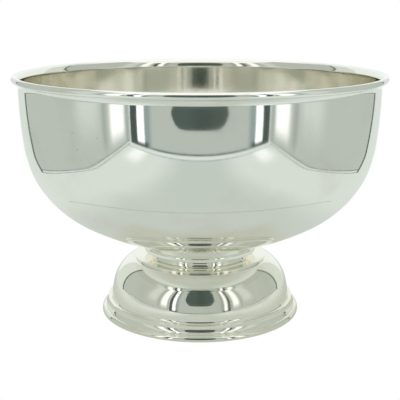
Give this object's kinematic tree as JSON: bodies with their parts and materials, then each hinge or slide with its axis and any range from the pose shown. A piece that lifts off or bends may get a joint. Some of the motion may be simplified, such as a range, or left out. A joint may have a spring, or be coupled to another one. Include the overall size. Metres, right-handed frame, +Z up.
{
  "type": "punch bowl",
  "caption": "Deep round silver-plated serving bowl with a beaded, hollow-moulded rim, bolted to a stepped and domed pedestal foot.",
  "frame": {"origin": "centre of the circle that the foot stands on", "axes": "+Z up along the axis of revolution of the bowl and foot"},
  "size_m": [0.35, 0.35, 0.2316],
  "materials": {
    "silver_plate": "mirror-polished silver plate",
    "silver_inside": "silver plate with fine use scratches and a faint warm tone",
    "foot_inside": "dull, unpolished plate",
    "fastener": "zinc-plated steel"
  },
  "bodies": {
    "root": {"bowl_shell": "silver_plate", "rim_bead": "silver_plate", "rim_band": "silver_plate", "stud_boss": "silver_plate", "centre_stud": "fastener", "upper_collar": "silver_plate", "lower_collar": "silver_plate", "foot_dome": "silver_plate", "base_moulding": "silver_plate", "clamp_plate": "fastener", "spring_washer": "fastener", "hex_nut": "fastener"}
  },
  "joints": []
}
